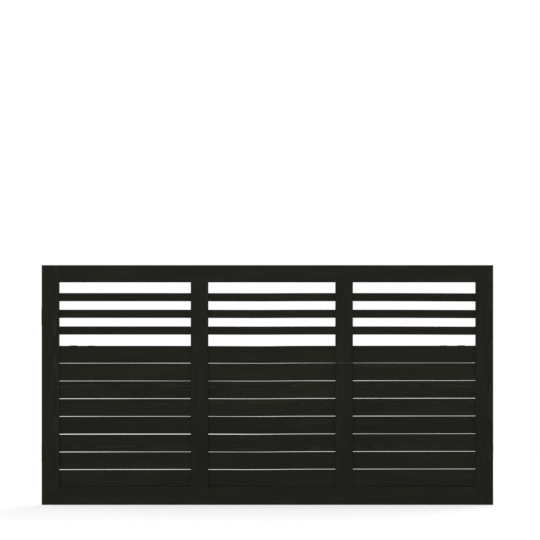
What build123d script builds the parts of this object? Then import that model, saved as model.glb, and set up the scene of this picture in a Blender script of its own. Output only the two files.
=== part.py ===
"""Framed timber fence panel with close-set boards below and an open band of slats above.

Units are millimetres. +Z is up, +X runs along the panel and the front faces -Y. The origin is
the centre of the left stile's outer edge, the face that is fastened to the left-hand post.
"""

import os

from build123d import *

# Overall size of the panel
PANEL_WIDTH = 1800.0
PANEL_HEIGHT = 956.0
FRAME_DEPTH = 45.0

# Outer frame: two full-height stiles, with the rails tenoned between them
STILE_WIDTH = 70.0
TOP_RAIL_HEIGHT = 69.0
BOTTOM_RAIL_HEIGHT = 72.0
FRAME_ARRIS = 3.0  # radius of the eased edges, which stop where another piece joins flush

# Mid stiles: pairs that clamp the infill from the front and the back, flush with the frame
MID_STILE_COUNT = 2
MID_STILE_WIDTH = 70.0
MID_STILE_OFFSET = 17.5  # how far right of equal bays they stand, as photographed

# Infill that runs from stile to stile: close boards below, open slats above
INFILL_THICKNESS = 15.0
INFILL_ARRIS = 2.0
BOARD_HEIGHT = 68.5
BOARD_GAP = 2.0
SLAT_COUNT = 3
SLAT_HEIGHT = 33.0
SLAT_GAP = 33.5  # between slats, and the least above the first and below the last

# Joinery
TENON_LENGTH = 45.0
TENON_HAUNCH = 18.0  # timber left between a rail's mortise and the end of the stile
TENON_SHOULDER = 8.0  # from the rail's inner edge to its tenon
HOUSING_DEPTH = 12.0  # how far boards and slats run into the stiles
STUB_LENGTH = 10.0  # stub tenons at both ends of a mid stile
STUB_SHOULDER = 10.0  # from the mid stile's side to its stub tenon
FIT_CLEARANCE = 0.2  # on each side of a tenon, board or slat in its housing
END_CLEARANCE = 0.5  # beyond the end of a tenon, board or slat

# Thicknesses that follow: tenons are a third of what carries them
TENON_THICKNESS = FRAME_DEPTH / 3
MID_STILE_THICKNESS = (FRAME_DEPTH - INFILL_THICKNESS) / 2
STUB_THICKNESS = MID_STILE_THICKNESS / 3
STUB_WIDTH = MID_STILE_WIDTH - 2 * STUB_SHOULDER

# Levels and lengths that follow, with the sight opening between the inner edges of the frame
FRAME_TOP = PANEL_HEIGHT / 2
FRAME_BOTTOM = -PANEL_HEIGHT / 2
SIGHT_TOP = FRAME_TOP - TOP_RAIL_HEIGHT
SIGHT_BOTTOM = FRAME_BOTTOM + BOTTOM_RAIL_HEIGHT
SIGHT_HEIGHT = SIGHT_TOP - SIGHT_BOTTOM
SIGHT_WIDTH = PANEL_WIDTH - 2 * STILE_WIDTH
RAIL_EDGES = {"top_rail": (FRAME_TOP, SIGHT_TOP), "bottom_rail": (FRAME_BOTTOM, SIGHT_BOTTOM)}

# Boards stand on the bottom rail, as many as leave the slats their room under the top rail
BOARD_PITCH = BOARD_HEIGHT + BOARD_GAP
SLAT_PITCH = SLAT_HEIGHT + SLAT_GAP
OPEN_BAND_LEAST = SLAT_COUNT * SLAT_PITCH + SLAT_GAP
BOARD_COUNT = int((SIGHT_HEIGHT - OPEN_BAND_LEAST + BOARD_GAP) // BOARD_PITCH)
BOARDS_TOP = SIGHT_BOTTOM + BOARD_COUNT * BOARD_PITCH - BOARD_GAP
BOARD_CENTRES = [BOARDS_TOP - BOARD_HEIGHT / 2 - i * BOARD_PITCH for i in range(BOARD_COUNT)]

# Slats stand in the middle of the open band that the boards leave
FIRST_SLAT_CENTRE = (SIGHT_TOP + BOARDS_TOP + (SLAT_COUNT - 1) * SLAT_PITCH) / 2
SLAT_CENTRES = [FIRST_SLAT_CENTRE - i * SLAT_PITCH for i in range(SLAT_COUNT)]

# Mid stiles divide the sight opening into bays, and their stubs lie in the middle of their thickness
BAY_WIDTH = (SIGHT_WIDTH - MID_STILE_COUNT * MID_STILE_WIDTH) / (MID_STILE_COUNT + 1)
FIRST_MID_STILE = STILE_WIDTH + BAY_WIDTH + MID_STILE_WIDTH / 2 + MID_STILE_OFFSET
MID_STILE_CENTRES = [FIRST_MID_STILE + i * (BAY_WIDTH + MID_STILE_WIDTH) for i in range(MID_STILE_COUNT)]
MID_STILE_SIDES = [x + side * MID_STILE_WIDTH / 2 for x in MID_STILE_CENTRES for side in (-1, 1)]
BAY_SIDES = [STILE_WIDTH, *MID_STILE_SIDES, PANEL_WIDTH - STILE_WIDTH]
BAYS = list(zip(BAY_SIDES[::2], BAY_SIDES[1::2]))
MID_STILE_Y = (INFILL_THICKNESS + MID_STILE_THICKNESS) / 2


def write(part, label):
    """Names a finished piece and writes it to a file of that name."""
    part.label = label
    export_step(part, f"parts/{label}.step")


def tenon_span(outer_edge, inner_edge):
    """Centre and height of a rail's tenon, which stands in from both edges of the rail."""
    inward = 1 if inner_edge > outer_edge else -1
    outer_end = outer_edge + inward * TENON_HAUNCH
    inner_end = inner_edge - inward * TENON_SHOULDER
    return (outer_end + inner_end) / 2, abs(inner_end - outer_end)


def make_stile(label, outer_x, inward):
    """A stile with the board groove, slat mortises and rail mortises cut into its inner edge."""
    foot = Plane((outer_x, 0, FRAME_BOTTOM), x_dir=(inward, 0, 0), z_dir=(0, 0, 1))
    across = Axis((outer_x, 0, 0), (inward, 0, 0))
    inner_edge = Plane(
        (outer_x + inward * STILE_WIDTH, 0, 0), x_dir=(0, inward, 0), z_dir=(inward, 0, 0)
    )
    housing_width = INFILL_THICKNESS + 2 * FIT_CLEARANCE
    with BuildPart() as stile:
        with BuildSketch(foot):
            with Locations((STILE_WIDTH / 2, 0)):
                Rectangle(STILE_WIDTH, FRAME_DEPTH)
        extrude(amount=PANEL_HEIGHT)
        outer_edges = stile.faces().sort_by(across)[0].edges()
        end_edges = stile.edges().filter_by(Axis.X)
        fillet(outer_edges + end_edges, radius=FRAME_ARRIS)
        with BuildSketch(foot.offset(BOTTOM_RAIL_HEIGHT)):
            with Locations((STILE_WIDTH - FRAME_ARRIS, 0)):
                Rectangle(2 * FRAME_ARRIS, FRAME_DEPTH)
            with Locations((STILE_WIDTH - 2 * FRAME_ARRIS, 0)):
                RectangleRounded(4 * FRAME_ARRIS, FRAME_DEPTH, FRAME_ARRIS, mode=Mode.SUBTRACT)
        extrude(amount=SIGHT_HEIGHT, mode=Mode.SUBTRACT)
        with BuildSketch(inner_edge):
            with Locations((0, (SIGHT_BOTTOM + BOARDS_TOP) / 2)):
                Rectangle(housing_width, BOARDS_TOP - SIGHT_BOTTOM + 2 * FIT_CLEARANCE)
            with Locations(*[(0, centre) for centre in SLAT_CENTRES]):
                RectangleRounded(
                    housing_width, SLAT_HEIGHT + 2 * FIT_CLEARANCE, INFILL_ARRIS + FIT_CLEARANCE
                )
        extrude(amount=-(HOUSING_DEPTH + END_CLEARANCE), mode=Mode.SUBTRACT)
        with BuildSketch(inner_edge):
            for edges in RAIL_EDGES.values():
                centre, height = tenon_span(*edges)
                with Locations((0, centre)):
                    Rectangle(TENON_THICKNESS + 2 * FIT_CLEARANCE, height + 2 * FIT_CLEARANCE)
        extrude(amount=-(TENON_LENGTH + END_CLEARANCE), mode=Mode.SUBTRACT)
    write(stile.part, label)


def make_rail(label, outer_edge, inner_edge):
    """A rail with a tenon at each end and stub mortises for the mid stiles in its inner edge."""
    facing = 1 if inner_edge > outer_edge else -1
    centre, height = tenon_span(outer_edge, inner_edge)
    stub_places = [(x, side * MID_STILE_Y) for x in MID_STILE_CENTRES for side in (-1, 1)]
    with BuildPart() as rail:
        with BuildSketch(Plane.YZ.offset(STILE_WIDTH)) as section:
            with Locations((0, (outer_edge + inner_edge) / 2)):
                Rectangle(FRAME_DEPTH, abs(inner_edge - outer_edge))
            fillet(section.vertices().group_by(Axis.Y)[0 if facing > 0 else -1], radius=FRAME_ARRIS)
        extrude(amount=SIGHT_WIDTH)
        for bay_left, bay_right in BAYS:
            with BuildSketch(Plane.YZ.offset(bay_left)):
                with Locations((0, inner_edge - facing * FRAME_ARRIS)):
                    Rectangle(FRAME_DEPTH, 2 * FRAME_ARRIS)
                with Locations((0, inner_edge - facing * 2 * FRAME_ARRIS)):
                    RectangleRounded(FRAME_DEPTH, 4 * FRAME_ARRIS, FRAME_ARRIS, mode=Mode.SUBTRACT)
            extrude(amount=bay_right - bay_left, mode=Mode.SUBTRACT)
        with BuildSketch(Plane.YZ.offset(STILE_WIDTH - TENON_LENGTH)):
            with Locations((0, centre)):
                Rectangle(TENON_THICKNESS, height)
        extrude(amount=SIGHT_WIDTH + 2 * TENON_LENGTH)
        with BuildSketch(Plane((0, 0, inner_edge), x_dir=(1, 0, 0), z_dir=(0, 0, facing))):
            with Locations(*stub_places):
                Rectangle(STUB_WIDTH + 2 * FIT_CLEARANCE, STUB_THICKNESS + 2 * FIT_CLEARANCE)
        extrude(amount=-(STUB_LENGTH + END_CLEARANCE), mode=Mode.SUBTRACT)
    write(rail.part, label)


def make_mid_stile(label, centre_x, facing):
    """A mid stile on one face of the infill, -1 at the front, with a stub tenon into each rail."""
    foot = Plane((centre_x, 0, SIGHT_BOTTOM), x_dir=(-facing, 0, 0), z_dir=(0, 0, 1))
    with BuildPart() as mid_stile:
        with BuildSketch(foot) as section:
            with Locations((0, -MID_STILE_Y)):
                Rectangle(MID_STILE_WIDTH, MID_STILE_THICKNESS)
            fillet(section.vertices().group_by(Axis.Y)[0], radius=FRAME_ARRIS)
        extrude(amount=SIGHT_HEIGHT)
        with BuildSketch(foot.offset(-STUB_LENGTH)):
            with Locations((0, -MID_STILE_Y)):
                Rectangle(STUB_WIDTH, STUB_THICKNESS)
        extrude(amount=SIGHT_HEIGHT + 2 * STUB_LENGTH)
    write(mid_stile.part, label)


def make_infill(label, centre_z, height):
    """A board or slat with rounded long edges, which runs from one stile's housing to the other's."""
    with BuildPart() as infill:
        with BuildSketch(Plane.YZ.offset(STILE_WIDTH - HOUSING_DEPTH)):
            with Locations((0, centre_z)):
                RectangleRounded(INFILL_THICKNESS, height, INFILL_ARRIS)
        extrude(amount=SIGHT_WIDTH + 2 * HOUSING_DEPTH)
    write(infill.part, label)


os.makedirs("parts", exist_ok=True)

make_stile("left_stile", 0, 1)
make_stile("right_stile", PANEL_WIDTH, -1)

for rail_name, rail_edges in RAIL_EDGES.items():
    make_rail(rail_name, *rail_edges)

for number, mid_stile_x in enumerate(MID_STILE_CENTRES, start=1):
    make_mid_stile(f"front_mid_stile_{number}", mid_stile_x, -1)
    make_mid_stile(f"back_mid_stile_{number}", mid_stile_x, 1)

for number, slat_centre in enumerate(SLAT_CENTRES, start=1):
    make_infill(f"slat_{number}", slat_centre, SLAT_HEIGHT)

for number, board_centre in enumerate(BOARD_CENTRES, start=1):
    make_infill(f"board_{number}", board_centre, BOARD_HEIGHT)
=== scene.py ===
"""Dresses the solids of a slatted wooden fence panel, from its stained timber to a white studio."""

from math import pi, radians

import bpy
import numpy as np
from bpy.props import FloatProperty, FloatVectorProperty, IntProperty, PointerProperty
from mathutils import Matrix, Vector


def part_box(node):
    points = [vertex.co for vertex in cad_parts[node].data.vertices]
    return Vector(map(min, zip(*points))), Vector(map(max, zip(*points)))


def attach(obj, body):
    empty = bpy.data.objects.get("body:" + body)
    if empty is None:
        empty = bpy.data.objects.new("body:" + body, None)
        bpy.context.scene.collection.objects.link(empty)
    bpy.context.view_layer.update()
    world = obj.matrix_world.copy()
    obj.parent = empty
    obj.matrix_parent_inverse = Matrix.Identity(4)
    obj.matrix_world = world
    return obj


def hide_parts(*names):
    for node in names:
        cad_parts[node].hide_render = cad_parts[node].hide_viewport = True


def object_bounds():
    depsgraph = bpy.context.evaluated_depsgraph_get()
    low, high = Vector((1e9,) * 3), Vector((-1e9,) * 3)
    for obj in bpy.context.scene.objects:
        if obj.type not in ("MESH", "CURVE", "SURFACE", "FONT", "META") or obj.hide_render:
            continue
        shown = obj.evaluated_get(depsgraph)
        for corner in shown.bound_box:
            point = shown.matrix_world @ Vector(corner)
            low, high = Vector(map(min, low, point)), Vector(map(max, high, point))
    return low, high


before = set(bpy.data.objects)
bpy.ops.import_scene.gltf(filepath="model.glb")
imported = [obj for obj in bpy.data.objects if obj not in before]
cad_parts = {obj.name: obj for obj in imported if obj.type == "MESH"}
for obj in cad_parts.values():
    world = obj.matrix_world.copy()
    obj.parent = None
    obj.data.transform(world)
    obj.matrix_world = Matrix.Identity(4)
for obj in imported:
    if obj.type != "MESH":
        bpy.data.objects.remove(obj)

bl_info = {
    "name": "Fence panel dresser",
    "version": (1, 0, 0),
    "blender": (4, 5, 0),
    "location": "3D View > Sidebar > Fence",
    "description": "Stains a fence panel, bows its boards, adds its fittings, sets a studio",
    "category": "Object",
}

PANEL_LOW, PANEL_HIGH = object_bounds()
FRAME_UPRIGHTS = ("left_stile", "right_stile", "front_mid_stile_1", "front_mid_stile_2",
                  "back_mid_stile_1", "back_mid_stile_2")
FRAME_RAILS = ("top_rail", "bottom_rail")
FRONT_UPRIGHTS = ("left_stile", "front_mid_stile_1", "front_mid_stile_2", "right_stile")
BACK_UPRIGHTS = ("back_mid_stile_1", "back_mid_stile_2")
RUBBED_UPRIGHT = "front_mid_stile_2"
SLATS = tuple(f"slat_{n}" for n in range(1, 4))
BOARDS = tuple(f"board_{n}" for n in range(1, 9))
GAP_COUNT = len(BOARDS) - 1
MM = 0.001


def linear(hex_code):
    """Linear RGB of an sRGB hex colour, by the sRGB curve."""
    srgb = np.array([int(hex_code[place:place + 2], 16) for place in (1, 3, 5)]) / 255
    rgb = np.where(srgb <= 0.04045, srgb / 12.92, ((srgb + 0.055) / 1.055) ** 2.4)
    return tuple(float(part) for part in rgb)


class TimberSizes(bpy.types.PropertyGroup):
    """How the slats and boards are eased, bowed and spaced."""

    arris: FloatProperty(
        name="Board arris", description="Radius of the eased edges of boards and slats",
        default=0.002, min=0.0002, unit="LENGTH", subtype="DISTANCE")
    station_step: FloatProperty(
        name="Station step", description="Distance between sections along a board",
        default=0.008, min=0.002, unit="LENGTH", subtype="DISTANCE")
    bow_depth: FloatProperty(
        name="Bow depth", description="How far the boards sag at the bow's lowest place",
        default=0.0013, unit="LENGTH", subtype="DISTANCE")
    slat_bow_depth: FloatProperty(
        name="Slat bow depth", description="How far the slats sag there",
        default=0.0007, unit="LENGTH", subtype="DISTANCE")
    bow_place: FloatProperty(
        name="Bow place", description="Distance of the bow's lowest place from the left edge",
        default=0.87, unit="LENGTH", subtype="DISTANCE")
    bow_spreads: FloatVectorProperty(
        name="Bow spreads", description="How far the bow reaches to the left and to the right",
        size=2, default=(0.22, 0.11), min=0.01, unit="LENGTH")
    climbs: FloatVectorProperty(
        name="Climb of the boards",
        description="Rise from the panel's middle to its right edge, of the highest and lowest gap",
        size=2, default=(0.0008, 0.0015), unit="LENGTH")
    slat_lift: FloatProperty(
        name="Slat lift", description="How far the slats stand above their nominal place",
        default=0.0012, unit="LENGTH", subtype="DISTANCE")
    slat_droop: FloatProperty(
        name="Slat droop", description="How far the slats sink at their right end",
        default=0.0012, unit="LENGTH", subtype="DISTANCE")
    droop_place: FloatProperty(
        name="Droop place", description="Where the droop begins, from the left edge",
        default=1.35, unit="LENGTH", subtype="DISTANCE")
    gaps_left_stile: FloatVectorProperty(
        name="Gaps at the left stile", description="Gap there under each board but the lowest",
        size=GAP_COUNT, default=(0.0012, 0.0016, 0.0022, 0.0019, 0.0030, 0.0024, 0.0021),
        unit="LENGTH")
    gaps_mid_stile_1: FloatVectorProperty(
        name="Gaps at the first mid stile", description="The same gaps at the first mid stile",
        size=GAP_COUNT, default=(0.0015, 0.0009, 0.0016, 0.0012, 0.0028, 0.0012, 0.0019),
        unit="LENGTH")
    gaps_mid_stile_2: FloatVectorProperty(
        name="Gaps at the second mid stile", description="The same gaps at the second mid stile",
        size=GAP_COUNT, default=(0.0007, 0.0018, 0.0017, 0.0019, 0.0014, 0.0018, 0.0015),
        unit="LENGTH")
    gaps_right_stile: FloatVectorProperty(
        name="Gaps at the right stile", description="The same gaps at the right stile",
        size=GAP_COUNT, default=(0.0010, 0.0011, 0.0019, 0.0014, 0.0013, 0.0017, 0.0014),
        unit="LENGTH")
    gap_lifts: FloatVectorProperty(
        name="Gap lifts", description="How far each gap stands above its nominal place",
        size=GAP_COUNT, default=(0.0008, 0.0005, 0.0005, 0.0002, 0, -0.0003, 0), unit="LENGTH")
    gap_ripple: FloatProperty(
        name="Gap ripple", description="Half the unevenness of a gap along its length",
        default=0.0001, unit="LENGTH", subtype="DISTANCE")


class ClipSizes(bpy.types.PropertyGroup):
    """The folded clips on the top edge of the first board, a pair near each end of the panel."""

    places: FloatVectorProperty(
        name="Places", description="Middle of each clip, from the nearer end of the panel",
        size=2, default=(0.1265, 0.1985), unit="LENGTH")
    rises: FloatVectorProperty(
        name="Rises", description="How far each clip stands above the board's edge",
        size=2, default=(0.0015, 0.0010), unit="LENGTH")
    width: FloatProperty(
        name="Width", description="Width of a clip along the board",
        default=0.029, min=0.001, unit="LENGTH", subtype="DISTANCE")
    gauge: FloatProperty(
        name="Gauge", description="Thickness of the sheet",
        default=0.0016, min=0.0002, unit="LENGTH", subtype="DISTANCE")
    leg: FloatProperty(
        name="Leg", description="How far a clip reaches down the back of the board",
        default=0.016, min=0.001, unit="LENGTH", subtype="DISTANCE")


class ScrewSizes(bpy.types.PropertyGroup):
    """The countersunk screws in the back mid stiles and in the plates."""

    head_radius: FloatProperty(
        name="Head radius", description="Radius of a screw head",
        default=0.0042, min=0.001, unit="LENGTH", subtype="DISTANCE")
    head_rise: FloatProperty(
        name="Head rise", description="How far a crown stands out of a back mid stile",
        default=0.0011, min=0.0002, unit="LENGTH", subtype="DISTANCE")
    drive_radius: FloatProperty(
        name="Drive radius", description="Mean radius of the six-lobed drive recess",
        default=0.0019, min=0.0005, unit="LENGTH", subtype="DISTANCE")
    steps_round: IntProperty(
        name="Steps round", description="Points round a screw head", default=36, min=12)


class PlateSizes(bpy.types.PropertyGroup):
    """The fixing plates let into the outer edges of the stiles, one near each end."""

    place: FloatProperty(
        name="Place", description="Middle of a plate, from the nearer end of its stile",
        default=0.2035, unit="LENGTH", subtype="DISTANCE")
    height: FloatProperty(
        name="Height", description="Height of a plate",
        default=0.067, min=0.01, unit="LENGTH", subtype="DISTANCE")
    width: FloatProperty(
        name="Width", description="Width of a plate across the stile's edge",
        default=0.03, min=0.01, unit="LENGTH", subtype="DISTANCE")
    gauge: FloatProperty(
        name="Gauge", description="Thickness of a plate",
        default=0.002, min=0.0005, unit="LENGTH", subtype="DISTANCE")
    corner: FloatProperty(
        name="Corner", description="Radius of a plate's corners",
        default=0.004, min=0.0005, unit="LENGTH", subtype="DISTANCE")
    bevel: FloatProperty(
        name="Bevel", description="Bevel round a plate's outer face",
        default=0.0003, min=0.0001, unit="LENGTH", subtype="DISTANCE")
    left_rises: FloatVectorProperty(
        name="Left rises", description="How far the left stile's upper and lower plate stand out",
        size=2, default=(0.0012, 0.0007), unit="LENGTH")
    right_rises: FloatVectorProperty(
        name="Right rises", description="The same at the right stile",
        size=2, default=(0.0002, 0.0006), unit="LENGTH")
    screw_reach: FloatProperty(
        name="Screw reach", description="Distance of a plate's two screws from its middle",
        default=0.021, unit="LENGTH", subtype="DISTANCE")
    head_rise: FloatProperty(
        name="Head rise", description="How far the crowns of its screws stand out of a plate",
        default=0.0003, min=0.0001, unit="LENGTH", subtype="DISTANCE")


class FinishColours(bpy.types.PropertyGroup):
    """Colours of the stain, the rubbed wood and the steel."""

    stain_dark: FloatVectorProperty(
        name="Dark stain", description="Stain in the open early wood",
        size=3, default=linear("#171610"), min=0, max=1, subtype="COLOR")
    stain: FloatVectorProperty(
        name="Stain", description="Stain on most of the timber",
        size=3, default=linear("#1D1C16"), min=0, max=1, subtype="COLOR")
    stain_light: FloatVectorProperty(
        name="Light stain", description="Stain on the hard late wood",
        size=3, default=linear("#26251C"), min=0, max=1, subtype="COLOR")
    worn: FloatVectorProperty(
        name="Worn stain", description="Stain thinned on the arrises",
        size=3, default=linear("#353328"), min=0, max=1, subtype="COLOR")
    rubbed: FloatVectorProperty(
        name="Rubbed line", description="Pale line rubbed through the stain",
        size=3, default=linear("#565550"), min=0, max=1, subtype="COLOR")
    steel: FloatVectorProperty(
        name="Steel", description="Black coating of the clips, plates and screws",
        size=3, default=linear("#151514"), min=0, max=1, subtype="COLOR")


class StageSettings(bpy.types.PropertyGroup):
    """Camera, lamps, sky and floor."""

    camera_distance: FloatProperty(
        name="Camera distance", description="From the lens to the panel's front face",
        default=20, min=1, unit="LENGTH", subtype="DISTANCE")
    picture_width: FloatProperty(
        name="Picture width", description="Width of the picture at the panel's front face",
        default=2.1522, min=0.1, unit="LENGTH", subtype="DISTANCE")
    camera_right: FloatProperty(
        name="Camera right", description="How far the lens stands right of the panel's centre",
        default=0.0102, unit="LENGTH", subtype="DISTANCE")
    camera_up: FloatProperty(
        name="Camera up", description="How far the lens stands above the panel's centre",
        default=0.4585, unit="LENGTH", subtype="DISTANCE")
    front_power: FloatProperty(
        name="Front lamp power", description="Power of the soft lamp in front",
        default=1190, min=0, unit="POWER")
    front_place: FloatVectorProperty(
        name="Front lamp place", description="Way from the panel's centre to that lamp",
        size=3, default=(-0.8, -15.5, 3.2), unit="LENGTH", subtype="TRANSLATION")
    back_power: FloatProperty(
        name="Back lamp power", description="Power of the soft lamp behind",
        default=650, min=0, unit="POWER")
    back_place: FloatVectorProperty(
        name="Back lamp place", description="Way from the panel's centre to that lamp",
        size=3, default=(4, 12, 6), unit="LENGTH", subtype="TRANSLATION")
    lamp_width: FloatProperty(
        name="Lamp width", description="Side of the square lamps",
        default=7, min=0.1, unit="LENGTH", subtype="DISTANCE")
    sky_strength: FloatProperty(
        name="Sky strength", description="Light from all round that falls on the panel",
        default=0.4, min=0)
    floor_width: FloatProperty(
        name="Floor width", description="Side of the square floor",
        default=11, min=5, unit="LENGTH", subtype="DISTANCE")
    floor_colour: FloatVectorProperty(
        name="Floor colour", description="Colour of the floor's paper",
        size=3, default=linear("#EDEDED"), min=0, max=1, subtype="COLOR")
    floor_lift: FloatProperty(
        name="Floor lift", description="Glow that brings the floor to white where it is seen",
        default=0.53, min=0)


def add(tree, kind, inputs=None, **settings):
    """Adds one node, sets its properties, and gives its inputs their values or links."""
    made = tree.nodes.new("ShaderNode" + kind)
    for name, value in settings.items():
        setattr(made, name, value)
    for name, value in (inputs or {}).items():
        socket = made.inputs[name]
        if isinstance(value, bpy.types.NodeSocket):
            tree.links.new(value, socket)
        else:
            socket.default_value = value
    return made


def new_material(name):
    """A material with an empty node tree, and that tree."""
    material = bpy.data.materials.new(name)
    material.use_nodes = True
    material.node_tree.nodes.clear()
    return material, material.node_tree


# Seeds of the draws that give each timber a grain of its own.
FRAME_SEED, SLAT_SEED, BOARD_SEED = 11, 23, 37

# Euler turns that lay a pattern's first axis along the grain and its second across the face.
GRAIN_LEVEL = (pi / 2, 0, 0)
GRAIN_UPRIGHT = (-pi / 2, -pi / 2, 0)

# The pith lies this far from a timber's middle, and its line sways along the grain.
PITH_LEAST, PITH_MOST = 28 * MM, 70 * MM
SWAY_LENGTH, SWAY_WIDTH = 550 * MM, 30 * MM
# A pattern is moved along the grain by some metres, so that no two timbers show the same part.
SHIFT_LEAST, SHIFT_MOST = 2, 40

RING_SPACING = 4 * MM
# Pine fibres are under 0.1 mm wide. These streaks are drawn 3 mm wide so that they show at all.
STREAK_LENGTH, STREAK_WIDTH = 140 * MM, 3 * MM
BLOTCH_LENGTH, BLOTCH_WIDTH = 420 * MM, 45 * MM
RING_WEIGHT, STREAK_WEIGHT, BLOTCH_WEIGHT = 0.34, 0.5, 0.5

# One place in five on a net of this spacing holds a knot, which bends the rings round it.
KNOT_SPACING, KNOT_RADIUS, KNOT_SHARE = 130 * MM, 9 * MM, 0.2
# A knot's pull reaches out by this many radii and adds this many rings at its heart.
KNOT_REACH, KNOT_RINGS = 3, 3

# Figure at which the dark, the usual and the light stain stand, and how far timbers differ in tone.
STAIN_STOPS = (0.34, 0.66, 0.98)
TONE_SPREAD = 0.07

# Largest part of the surface's normal where an arris begins, and where its stain is thinnest.
ARRIS_START, ARRIS_THINNEST = 0.98, 0.74

# The pale line on one mid stile is this wide and lies this far above the first gap between boards.
RUBBED_WIDTH, RUBBED_RISE = 1.2 * MM, 1.9 * MM

# Soft wood dries rougher than hard wood. Stained timber has hardly any gloss.
SOFT_FIGURE, HARD_FIGURE = 0.3, 1
SOFT_ROUGHNESS, HARD_ROUGHNESS = 0.74, 0.56
GRAIN_RELIEF, GRAIN_STRENGTH = 0.25 * MM, 0.5
TIMBER_GLOSS = 0.06


def pine_figure(tree, grain):
    """Figure of pine, about 0.3 in soft wood and 1 in hard wood, and the blotches that are in it.

    The figure is the sum by weight of growth rings, streaks and blotches. A ring is the fraction of
    the distance from the pith, counted in ring spacings, and a knot adds rings towards its heart.
    Streaks and blotches are noise, drawn out along the grain.
    """
    along = add(tree, "SeparateXYZ", {0: grain}).outputs[0]
    waves = add(tree, "Math", {0: along, 1: 1 / SWAY_LENGTH}, operation="MULTIPLY").outputs[0]
    sway = add(tree, "TexNoise", {"W": waves, "Scale": 1, "Detail": 2, "Roughness": 0.35},
               noise_dimensions="1D").outputs["Color"]
    swayed = add(tree, "VectorMath", {0: sway, 1: (0, SWAY_WIDTH, SWAY_WIDTH), 2: grain},
                 operation="MULTIPLY_ADD").outputs[0]
    across = add(tree, "VectorMath", {0: swayed, 1: (0, 1, 1)}, operation="MULTIPLY").outputs[0]
    from_pith = add(tree, "VectorMath", {0: across}, operation="LENGTH").outputs["Value"]

    knots = add(tree, "TexVoronoi", {"Vector": grain, "Scale": 1 / KNOT_SPACING},
                voronoi_dimensions="2D").outputs
    chosen = add(tree, "Math", {0: knots["Color"], 1: KNOT_SHARE}, operation="LESS_THAN").outputs[0]
    near = add(tree, "MapRange", {"Value": knots["Distance"], "From Max": 0,
                                  "From Min": KNOT_REACH * KNOT_RADIUS / KNOT_SPACING},
               interpolation_type="SMOOTHSTEP").outputs[0]
    in_knot = add(tree, "Math", {0: chosen, 1: near}, operation="MULTIPLY").outputs[0]
    knot_rings = add(tree, "Math", {0: in_knot, 1: KNOT_RINGS}, operation="MULTIPLY").outputs[0]

    rings = add(tree, "Math", {0: from_pith, 1: 1 / RING_SPACING, 2: knot_rings},
                operation="MULTIPLY_ADD").outputs[0]
    ring = add(tree, "Math", {0: rings}, operation="FRACT").outputs[0]
    fibres = add(tree, "VectorMath", {
        0: swayed, 1: (1 / STREAK_LENGTH, 1 / STREAK_WIDTH, 1 / STREAK_WIDTH)},
        operation="MULTIPLY").outputs[0]
    streak = add(tree, "TexNoise", {"Vector": fibres, "Scale": 1, "Detail": 2,
                                    "Roughness": 0.6}).outputs[0]
    patches = add(tree, "VectorMath", {
        0: swayed, 1: (1 / BLOTCH_LENGTH, 1 / BLOTCH_WIDTH, 1 / BLOTCH_WIDTH)},
        operation="MULTIPLY").outputs[0]
    blotch = add(tree, "TexNoise", {"Vector": patches, "Scale": 1, "Detail": 3,
                                    "Roughness": 0.55}).outputs[0]

    figure = add(tree, "Math", {0: blotch, 1: BLOTCH_WEIGHT}, operation="MULTIPLY").outputs[0]
    for share, weight in ((streak, STREAK_WEIGHT), (ring, RING_WEIGHT)):
        figure = add(tree, "Math", {0: share, 1: weight, 2: figure},
                     operation="MULTIPLY_ADD").outputs[0]
    return figure, blotch


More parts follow.
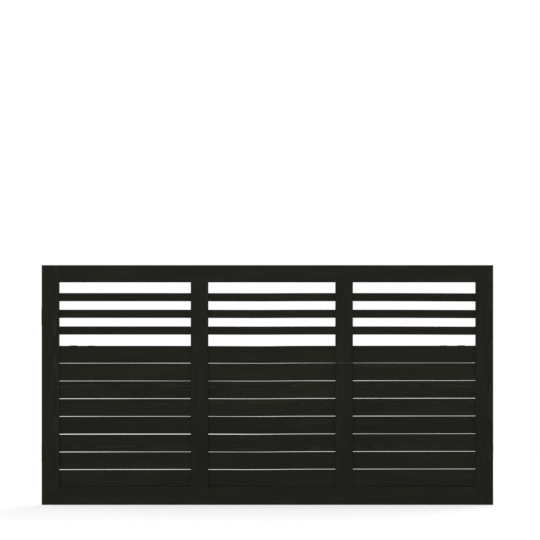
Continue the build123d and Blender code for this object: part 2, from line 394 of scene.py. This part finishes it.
def stained_pine(node, turn, colours, draws, rubbed_level=None):
    """Planed pine, dipped in black stain and dried matt.

    To the eye it is near black and even, with growth rings that barely show: the hard late wood
    takes less stain and stays a little paler and smoother. Rings are cylinders round a pith that
    wanders along the timber, so the faces show long arches and the ends show end grain. Arrises are
    a little thinner in stain. Where a rubbed level is given, a pale line crosses the faces there.
    """
    material, tree = new_material(f"black_stained_pine_{node}")
    pith_angle = draws.uniform(0, 2 * pi)
    pith_reach = draws.uniform(PITH_LEAST, PITH_MOST)
    tone = 1 + TONE_SPREAD * draws.uniform(-1, 1)
    shift = draws.uniform(SHIFT_LEAST, SHIFT_MOST)
    pith = (pith_reach * np.cos(pith_angle), pith_reach * np.sin(pith_angle))
    offset = (*pith, shift) if turn == GRAIN_UPRIGHT else (shift, *pith)
    low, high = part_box(node)
    place = add(tree, "TexCoord").outputs["Object"]
    grain = add(tree, "Mapping", {"Vector": place, "Location": (low + high) / 2 + Vector(offset),
                                  "Rotation": turn}, vector_type="TEXTURE").outputs[0]
    figure, blotch = pine_figure(tree, grain)

    ramp = add(tree, "ValToRGB", {0: figure})
    ramp.color_ramp.elements.new(STAIN_STOPS[1])
    stains = (colours.stain_dark, colours.stain, colours.stain_light)
    for element, stop, stain in zip(ramp.color_ramp.elements, STAIN_STOPS, stains):
        element.position = stop
        element.color = (*(tone * part for part in stain), 1)

    normal = add(tree, "NewGeometry").outputs["Normal"]
    facing = add(tree, "SeparateXYZ", {0: add(tree, "VectorMath", {0: normal},
                                              operation="ABSOLUTE").outputs[0]}).outputs
    level = add(tree, "Math", {0: facing[0], 1: facing[1]}, operation="MAXIMUM").outputs[0]
    squarest = add(tree, "Math", {0: level, 1: facing[2]}, operation="MAXIMUM").outputs[0]
    arris = add(tree, "MapRange", {"Value": squarest, "From Min": ARRIS_START,
                                   "From Max": ARRIS_THINNEST}).outputs[0]
    thin = add(tree, "Math", {0: arris, 1: blotch}, operation="MULTIPLY").outputs[0]
    # Inputs 6 and 7 of a Mix node are its two colours, and output 2 is the colour that it gives.
    colour = add(tree, "Mix", {0: thin, 6: ramp.outputs[0], 7: (*colours.worn, 1)},
                 data_type="RGBA").outputs[2]
    if rubbed_level is not None:
        height = add(tree, "SeparateXYZ", {0: place}).outputs[2]
        line = add(tree, "Math", {0: height, 1: rubbed_level, 2: RUBBED_WIDTH / 2},
                   operation="COMPARE").outputs[0]
        rubbed = add(tree, "Math", {0: line, 1: facing[1]}, operation="MULTIPLY").outputs[0]
        colour = add(tree, "Mix", {0: rubbed, 6: colour, 7: (*colours.rubbed, 1)},
                     data_type="RGBA").outputs[2]

    roughness = add(tree, "MapRange", {"Value": figure, "From Min": SOFT_FIGURE,
                                       "From Max": HARD_FIGURE, "To Min": SOFT_ROUGHNESS,
                                       "To Max": HARD_ROUGHNESS}).outputs[0]
    relief = add(tree, "Bump", {"Height": figure, "Distance": GRAIN_RELIEF,
                                "Strength": GRAIN_STRENGTH}).outputs[0]
    shader = add(tree, "BsdfPrincipled", {"Base Color": colour, "Roughness": roughness,
                                          "Normal": relief, "Specular IOR Level": TIMBER_GLOSS})
    add(tree, "OutputMaterial", {"Surface": shader.outputs[0]})
    return material


# Grains of the coating are about 0.2 mm across. They are drawn at 0.6 mm so that they show.
COATING_GRAIN = 0.6 * MM
# Range of the grains' noise, and the roughness at each end of it.
COATING_RANGE = (0.3, 0.7)
COATING_ROUGHNESS = (0.3, 0.48)
STEEL_GLOSS = 0.16


def black_coated_steel(colours):
    """Steel of the clips, plates and screws under a thin black coating.

    To the eye it is dark and satin, with a soft glint on edges and crowns, broken by the coating's
    grains.
    """
    if "black_coated_steel" in bpy.data.materials:
        return bpy.data.materials["black_coated_steel"]
    material, tree = new_material("black_coated_steel")
    place = add(tree, "TexCoord").outputs["Object"]
    grains = add(tree, "TexNoise", {"Vector": place, "Scale": 1 / COATING_GRAIN,
                                    "Detail": 2}).outputs[0]
    roughness = add(tree, "MapRange", {
        "Value": grains, "From Min": COATING_RANGE[0], "From Max": COATING_RANGE[1],
        "To Min": COATING_ROUGHNESS[0], "To Max": COATING_ROUGHNESS[1]}).outputs[0]
    shader = add(tree, "BsdfPrincipled", {"Base Color": (*colours.steel, 1), "Roughness": roughness,
                                          "Specular IOR Level": STEEL_GLOSS})
    add(tree, "OutputMaterial", {"Surface": shader.outputs[0]})
    return material


def new_piece(name, points, faces, material, flat_faces=0):
    """A mesh object at the origin, smooth but for its last few faces, riding on the panel."""
    mesh = bpy.data.meshes.new(name)
    mesh.from_pydata(points.reshape(-1, 3), [], faces)
    mesh.polygons.foreach_set("use_smooth", np.arange(len(faces)) < len(faces) - flat_faces)
    mesh.materials.append(material)
    mesh.update()
    piece = bpy.data.objects.new(name, mesh)
    bpy.context.scene.collection.objects.link(piece)
    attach(piece, "root")
    return piece


def swept_faces(points):
    """Faces of closed surfaces swept from ring to ring.

    There are quads between neighbour rings and a flat face at each end. The points are indexed by
    piece, by ring and by place round the ring, which runs anticlockwise for an eye at the last
    ring.
    """
    index = np.arange(points.size // 3).reshape(points.shape[:3])
    beside = np.roll(index, -1, axis=2)
    sides = np.stack([index[:, :-1], beside[:, :-1], beside[:, 1:], index[:, 1:]], axis=-1)
    ends = np.concatenate([index[:, 0, ::-1], index[:, -1]])
    return sides.reshape(-1, 4).tolist() + ends.tolist()


# Steps round an eased edge. Points close to the edges keep the shading of the flats even.
ARC_STEPS = 5
FLAT_SHARES = np.array([0.04, 0.5, 0.96])
# Sides of the four corners of a section, in order round it.
CORNER_SIDES = np.array([(-1, -1), (1, -1), (1, 1), (-1, 1)])


def rounded_bar(x, low, high, radius):
    """Points of a bar whose section is a rectangle with quarter-round corners, carried along X.

    At each place x the section reaches from low to high in (y, z). A corner point is the corner,
    less the radius towards the middle, plus the radius times (cosine, sine) of an angle that runs
    through a quarter turn. Points at set shares of the way join one quarter to the next.
    """
    corners = np.where(CORNER_SIDES > 0, high[:, None], low[:, None])
    angles = np.radians(180 + 90 * np.arange(4)[:, None] + np.linspace(0, 90, ARC_STEPS + 1))
    turns = np.stack([np.cos(angles), np.sin(angles)], axis=-1)
    arcs = (corners - CORNER_SIDES * radius)[:, :, None] + radius * turns
    starts = arcs[:, :, -1:]
    stops = np.roll(arcs, -1, axis=1)[:, :, :1]
    flats = starts + FLAT_SHARES[:, None] * (stops - starts)
    rings = np.concatenate([arcs, flats], axis=2).reshape(len(x), -1, 2)
    along = np.broadcast_to(x[:, None, None], rings.shape[:2] + (1,))
    return np.concatenate([along, rings], axis=2)


def infill_plank(node, x, floor, top, sizes, colours, draws):
    """Puts a plank between two edge lines in place of a board or slat of the frame."""
    low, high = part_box(node)
    lows = np.stack([np.full_like(x, low.y), floor], axis=-1)
    highs = np.stack([np.full_like(x, high.y), top], axis=-1)
    material = stained_pine(node, GRAIN_LEVEL, colours, draws)
    points = rounded_bar(x, lows, highs, sizes.arris)
    piece = new_piece(f"stained_{node}", points, swept_faces(points[None]), material, flat_faces=2)
    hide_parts(node)


def smooth(share):
    """Eases a share of a way from 0 to 1: three squares less two cubes, held at both ends."""
    held = np.clip(share, 0, 1)
    return held * held * (3 - 2 * held)


def stations(node, sizes):
    """Places along a board or slat, evenly spaced by about the station step."""
    low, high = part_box(node)
    return np.linspace(low.x, high.x, 1 + round((high.x - low.x) / sizes.station_step))


def bow(x, depth, sizes):
    """Sag of a board or slat along its length.

    It is minus the depth times e to the power of minus the squared distance from the lowest place,
    counted in spreads.
    """
    away = x - sizes.bow_place
    spread = np.where(away < 0, *sizes.bow_spreads)
    return -depth * np.exp(-(away / spread) ** 2)


def right_share(x):
    """Share of the way from the panel's middle to its right edge, and minus that to its left."""
    return 2 * (x - PANEL_LOW.x) / (PANEL_HIGH.x - PANEL_LOW.x) - 1


def slat_shift(x, sizes):
    """Height of a slat over its nominal place: the lift and the bow, less the right end's droop."""
    past = (x - sizes.droop_place) / (PANEL_HIGH.x - sizes.droop_place)
    return bow(x, sizes.slat_bow_depth, sizes) + sizes.slat_lift - sizes.slat_droop * smooth(past)


def top_edge(x, sizes):
    """Top line of the first board: its nominal level and the bow, with a climb to the right."""
    climb = sizes.climbs[0] * np.clip(right_share(x), 0, 1)
    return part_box(BOARDS[0])[1].z + bow(x, sizes.bow_depth, sizes) + climb


# Length of the gaps' ripple, and the share of a wave by which it is set on from gap to gap.
RIPPLE_LENGTH, RIPPLE_STEP = 430 * MM, 0.37


def board_edges(x, sizes):
    """Lower and upper edge lines of the boards, from the top down.

    A gap's middle line is its nominal level plus its lift, the bow and a climb in proportion to the
    way from the panel's middle. Its width passes evenly from upright to upright, plus a sine ripple
    that begins elsewhere in each gap. The edges lie half a width to each side.
    """
    boxes = [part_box(node) for node in BOARDS]
    nominal = np.array([(upper[0].z + lower[1].z) / 2 for upper, lower in zip(boxes, boxes[1:])])
    climbs = np.linspace(*sizes.climbs, GAP_COUNT)[:, None] * right_share(x)
    levels = (nominal + np.array(sizes.gap_lifts))[:, None]
    lines = levels + bow(x, sizes.bow_depth, sizes) + climbs

    uprights = np.array([sum(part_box(node), Vector()).x / 2 for node in FRONT_UPRIGHTS])
    passed = (x - uprights[:-1, None]) / np.diff(uprights)[:, None]
    gaps = np.stack([sizes.gaps_left_stile, sizes.gaps_mid_stile_1,
                     sizes.gaps_mid_stile_2, sizes.gaps_right_stile], axis=-1)
    waves = x / RIPPLE_LENGTH + RIPPLE_STEP * np.arange(GAP_COUNT)[:, None]
    ripple = sizes.gap_ripple * np.sin(2 * pi * waves)
    widths = gaps[:, :1] + np.diff(gaps) @ np.clip(passed, 0, 1) + ripple

    floors = [*(lines + widths / 2), np.full_like(x, boxes[-1][0].z)]
    tops = [top_edge(x, sizes), *(lines - widths / 2)]
    return floors, tops


class FENCE_OT_frame_timbers(bpy.types.Operator):
    """Stains the stiles, rails and mid stiles of the frame"""

    bl_idname = "fence.frame_timbers"
    bl_label = "Stain frame timbers"

    def execute(self, context):
        colours = context.scene.fence_finish
        draws = np.random.default_rng(FRAME_SEED)
        first_gap = (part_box(BOARDS[0])[0].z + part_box(BOARDS[1])[1].z) / 2
        for node in FRAME_UPRIGHTS + FRAME_RAILS:
            turn = GRAIN_UPRIGHT if node in FRAME_UPRIGHTS else GRAIN_LEVEL
            rubbed_level = first_gap + RUBBED_RISE if node == RUBBED_UPRIGHT else None
            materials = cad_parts[node].data.materials
            materials.clear()
            materials.append(stained_pine(node, turn, colours, draws, rubbed_level))
        return {"FINISHED"}


class FENCE_OT_slats(bpy.types.Operator):
    """Makes the three bowed slats of the open band"""

    bl_idname = "fence.slats"
    bl_label = "Make slats"

    def execute(self, context):
        sizes = context.scene.fence_timber
        draws = np.random.default_rng(SLAT_SEED)
        for node in SLATS:
            low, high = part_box(node)
            x = stations(node, sizes)
            shift = slat_shift(x, sizes)
            infill_plank(node, x, low.z + shift, high.z + shift, sizes,
                         context.scene.fence_finish, draws)
        return {"FINISHED"}


class FENCE_OT_boards(bpy.types.Operator):
    """Makes the eight close-set boards with their uneven gaps"""

    bl_idname = "fence.boards"
    bl_label = "Make boards"

    def execute(self, context):
        sizes = context.scene.fence_timber
        draws = np.random.default_rng(BOARD_SEED)
        x = stations(BOARDS[0], sizes)
        for node, floor, top in zip(BOARDS, *board_edges(x, sizes)):
            infill_plank(node, x, floor, top, sizes, context.scene.fence_finish, draws)
        return {"FINISHED"}


FOLD_STEPS = 8
# Corners of a clip's section: the side of its middle, and 0 on the inner or 1 on the outer face.
CLIP_CORNERS = np.array([(-1, 0), (-1, 1), (1, 1), (1, 0)])


def folded_clips(sizes, x, seats, front, back, fold):
    """Points of clips folded over the back of a board's top edge, one at each x.

    A clip is a strip of sheet along a path in (y, z): level from the front to the fold, a quarter
    turn about the fold's centre, and straight down the back, with the upper face at the seat. Each
    point of the path gives four corners: half the width to the left and right, on the inner face
    and, a gauge further along the path's normal, on the outer face.
    """
    turns = np.pad(np.linspace(0, pi / 2, FOLD_STEPS + 1), 1, mode="edge")
    normals = np.stack([np.sin(turns), np.cos(turns)], axis=-1)
    inner = np.array([back - fold, -sizes.gauge - fold]) + fold * normals
    inner[0, 0] = front
    inner[-1, 1] -= sizes.leg
    sides, depths = CLIP_CORNERS.T
    sheet = inner[:, None] + sizes.gauge * depths[:, None] * normals[:, None]
    points = np.empty((len(x), *sheet.shape[:2], 3))
    points[..., 0] = x[:, None, None] + sizes.width / 2 * sides
    points[..., 1] = sheet[..., 0]
    points[..., 2] = seats[:, None, None] + sheet[..., 1]
    return points


class FENCE_OT_clips(bpy.types.Operator):
    """Folds four steel clips over the top edge of the first board"""

    bl_idname = "fence.clips"
    bl_label = "Fold clips"

    def execute(self, context):
        sizes = context.scene.fence_clips
        timber = context.scene.fence_timber
        low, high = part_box(BOARDS[0])
        places = np.array(sizes.places)
        x = np.concatenate([PANEL_LOW.x + places, PANEL_HIGH.x - places])
        seats = top_edge(x, timber) + np.tile(sizes.rises, 2)
        points = folded_clips(sizes, x, seats, low.y + timber.arris, high.y, timber.arris)
        faces = swept_faces(points)
        material = black_coated_steel(context.scene.fence_finish)
        piece = new_piece(f"{BOARDS[0]}_clips", points, faces, material, flat_faces=len(faces))
        return {"FINISHED"}


# Rings of a screw head, from the bottom of its drive recess over the crown to under the face that
# it sits in: share of the drive's or the head's radius, share of the head's rise, and 1 for lobes.
RECESS_RINGS = ((0.02, 0.12, 0), (0.82, 0.12, 1), (0.96, 0.3, 1), (1, 0.92, 1), (1.06, 1, 1))
CROWN_RINGS = ((0.65, 0.93, 0), (0.84, 0.66, 0), (0.96, 0.3, 0), (1, 0, 0), (1, -0.5, 0),
               (0.02, -0.5, 0))
LOBES, LOBE_DEPTH = 6, 1 / 8


def screw_heads(sizes, rise, middles, out):
    """Points of screw heads that stand by a rise out of an upright face, one at each middle.

    A head is a surface turned about the screw's axis, which points out of the face. The rings of
    its recess have lobes: their radius times one plus the lobe depth times the cosine of the number
    of lobes times the angle.
    """
    recess = np.array(RECESS_RINGS) * (sizes.drive_radius, rise, 1)
    crown = np.array(CROWN_RINGS) * (sizes.head_radius, rise, 1)
    radius, height, lobed = np.concatenate([recess, crown]).T[:, :, None]
    angles = np.linspace(0, 2 * pi, sizes.steps_round, endpoint=False)
    radii = radius * (1 + LOBE_DEPTH * lobed * np.cos(LOBES * angles))
    across = np.array([out[1], -out[0], 0])
    turns = np.cos(angles)[:, None] * across + np.sin(angles)[:, None] * (0, 0, 1)
    return middles[:, None, None] + height[..., None] * out + radii[..., None] * turns


class FENCE_OT_screws(bpy.types.Operator):
    """Drives a raised countersunk screw through each back mid stile into every board and slat"""

    bl_idname = "fence.screws"
    bl_label = "Drive screws"

    def execute(self, context):
        sizes = context.scene.fence_screws
        material = black_coated_steel(context.scene.fence_finish)
        levels = [(low.z + high.z) / 2 for low, high in map(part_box, SLATS + BOARDS)]
        for node in BACK_UPRIGHTS:
            low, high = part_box(node)
            middles = np.array([((low.x + high.x) / 2, high.y, level) for level in levels])
            points = screw_heads(sizes, sizes.head_rise, middles, np.array([0, 1, 0]))
            piece = new_piece(f"{node}_screws", points, swept_faces(points), material)
        return {"FINISHED"}


def fixing_plates(sizes, middles, out):
    """Points of plates let into a face across X, one behind each middle of an outer face.

    A plate is a short bar with rounded corners. Its outer face is smaller by the bevel all round.
    Its sections are given from the back to the outer face, and a bar's run from left to right, so
    they are turned about where the face looks left.
    """
    half = np.array([sizes.width, sizes.height]) / 2
    depths = np.array([sizes.gauge, sizes.bevel, 0])
    insets = np.array([0, 0, sizes.bevel])[:, None]
    plates = []
    for middle in middles:
        x = middle[0] - out * depths
        low = middle[1:] - half + insets
        high = middle[1:] + half - insets
        plates.append(rounded_bar(x[::out], low[::out], high[::out], sizes.corner))
    return np.stack(plates)


class FENCE_OT_plates(bpy.types.Operator):
    """Screws fixing plates to the outer edges of the stiles, near the top and near the foot"""

    bl_idname = "fence.plates"
    bl_label = "Screw on plates"

    def execute(self, context):
        sizes = context.scene.fence_plates
        material = black_coated_steel(context.scene.fence_finish)
        reach = np.array([0, 0, sizes.screw_reach])
        for node, out, rises in (("left_stile", -1, sizes.left_rises),
                                 ("right_stile", 1, sizes.right_rises)):
            low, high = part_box(node)
            face = high.x if out > 0 else low.x
            levels = (high.z - sizes.place, low.z + sizes.place)
            middles = np.array([(face + out * rise, (low.y + high.y) / 2, level)
                                for rise, level in zip(rises, levels)])
            plates = fixing_plates(sizes, middles, out)
            faces = swept_faces(plates)
            piece = new_piece(f"{node}_plates", plates, faces, material, flat_faces=len(faces))
            seats = np.concatenate([middles - reach, middles + reach])
            heads = screw_heads(context.scene.fence_screws, sizes.head_rise, seats,
                                np.array([out, 0, 0]))
            piece = new_piece(f"{node}_screws", heads, swept_faces(heads), material)
        return {"FINISHED"}


def seen_directly(tree):
    """One for rays from the camera, also mirrored or bent ones, and nought for other light."""
    rays = add(tree, "LightPath").outputs
    mirrored = add(tree, "Math", {0: rays["Is Glossy Ray"], 1: rays["Is Transmission Ray"]},
                   operation="MAXIMUM").outputs[0]
    return add(tree, "Math", {0: rays["Is Camera Ray"], 1: mirrored},
               operation="MAXIMUM").outputs[0]


def lay_floor(scene, stage, centre):
    """A square floor of matt white paper under the panel.

    To the eye it is white, because it glows a little where it is seen directly, and it keeps the
    panel's soft shadow.
    """
    material, tree = new_material("white_paper_floor")
    paper = add(tree, "BsdfDiffuse", {"Color": (*stage.floor_colour, 1)}).outputs[0]
    lift = add(tree, "Math", {0: seen_directly(tree), 1: stage.floor_lift},
               operation="MULTIPLY").outputs[0]
    glow = add(tree, "Emission", {"Strength": lift}).outputs[0]
    lifted = add(tree, "AddShader", {0: paper, 1: glow}).outputs[0]
    add(tree, "OutputMaterial", {"Surface": lifted})
    reach = stage.floor_width / 2
    corners = [(centre.x + right * reach, centre.y + back * reach, PANEL_LOW.z)
               for right, back in CORNER_SIDES]
    mesh = bpy.data.meshes.new("floor")
    mesh.from_pydata(corners, [], [(0, 1, 2, 3)])
    mesh.materials.append(material)
    floor = bpy.data.objects.new("floor", mesh)
    scene.collection.objects.link(floor)


def white_world(scene, stage):
    """White all round: full white where it is seen directly, and the sky strength as light."""
    scene.world = bpy.data.worlds.new("white_studio")
    scene.world.use_nodes = True
    tree = scene.world.node_tree
    tree.nodes.clear()
    strength = add(tree, "MapRange", {"Value": seen_directly(tree), "To Min": stage.sky_strength,
                                      "To Max": 1}).outputs[0]
    sky = add(tree, "Background", {"Color": (1, 1, 1, 1), "Strength": strength}).outputs[0]
    add(tree, "OutputWorld", {"Surface": sky})


def hang_lamp(scene, name, power, width, centre, way):
    """A soft square lamp that stands off the panel's centre by a given way and faces it."""
    lamp = bpy.data.objects.new(name, bpy.data.lights.new(name, "AREA"))
    lamp.data.energy = power
    lamp.data.size = width
    lamp.location = centre + Vector(way)
    lamp.rotation_euler = (-Vector(way)).to_track_quat("-Z", "Y").to_euler()
    scene.collection.objects.link(lamp)


# Width of the camera's sensor in millimetres, and its sight in camera distances.
SENSOR_WIDTH = 36
SIGHT = 3


def set_camera(scene, stage, centre):
    """A level camera straight in front, whose lens takes in the picture width at the front face."""
    camera = bpy.data.objects.new("camera", bpy.data.cameras.new("camera"))
    camera.data.sensor_width = SENSOR_WIDTH
    camera.data.lens = SENSOR_WIDTH * stage.camera_distance / stage.picture_width
    camera.data.clip_end = SIGHT * stage.camera_distance
    camera.location = (centre.x + stage.camera_right, PANEL_LOW.y - stage.camera_distance,
                       centre.z + stage.camera_up)
    camera.rotation_euler = (radians(90), 0, 0)
    scene.collection.objects.link(camera)
    scene.camera = camera


class FENCE_OT_stage(bpy.types.Operator):
    """Lays the white floor and sets the world, the two lamps and the camera"""

    bl_idname = "fence.stage"
    bl_label = "Set the stage"

    def execute(self, context):
        scene = context.scene
        stage = scene.fence_stage
        centre = (PANEL_LOW + PANEL_HIGH) / 2
        scene.view_settings.view_transform = "Standard"
        lay_floor(scene, stage, centre)
        white_world(scene, stage)
        for name, power, way in (("front_lamp", stage.front_power, stage.front_place),
                                 ("back_lamp", stage.back_power, stage.back_place)):
            hang_lamp(scene, name, power, stage.lamp_width, centre, way)
        set_camera(scene, stage, centre)
        return {"FINISHED"}


class FENCE_PT_dresser(bpy.types.Panel):
    """Sizes, colours and steps of the fence panel"""

    bl_label = "Fence panel"
    bl_idname = "FENCE_PT_dresser"
    bl_space_type = "VIEW_3D"
    bl_region_type = "UI"
    bl_category = "Fence"

    def draw(self, context):
        for step in OPERATORS:
            self.layout.operator(step.bl_idname)
        for holder, kind in SETTINGS.items():
            box = self.layout.box()
            for name in kind.__annotations__:
                box.prop(getattr(context.scene, holder), name)


OPERATORS = (FENCE_OT_frame_timbers, FENCE_OT_slats, FENCE_OT_boards, FENCE_OT_clips,
             FENCE_OT_screws, FENCE_OT_plates, FENCE_OT_stage)
SETTINGS = {"fence_timber": TimberSizes, "fence_clips": ClipSizes, "fence_screws": ScrewSizes,
            "fence_plates": PlateSizes, "fence_finish": FinishColours,
            "fence_stage": StageSettings}
CLASSES = tuple(SETTINGS.values()) + OPERATORS + (FENCE_PT_dresser,)


def register():
    """Makes the settings, the operators and the panel known to the program."""
    for each in CLASSES:
        bpy.utils.register_class(each)
    for holder, group in SETTINGS.items():
        setattr(bpy.types.Scene, holder, PointerProperty(type=group))


def unregister():
    """Takes them out again, last first."""
    for holder in SETTINGS:
        delattr(bpy.types.Scene, holder)
    for each in reversed(CLASSES):
        bpy.utils.unregister_class(each)


def main():
    """Dresses the panel."""
    register()
    bpy.ops.fence.frame_timbers()
    bpy.ops.fence.slats()
    bpy.ops.fence.boards()
    bpy.ops.fence.clips()
    bpy.ops.fence.screws()
    bpy.ops.fence.plates()
    bpy.ops.fence.stage()


if __name__ == "__main__":
    main()
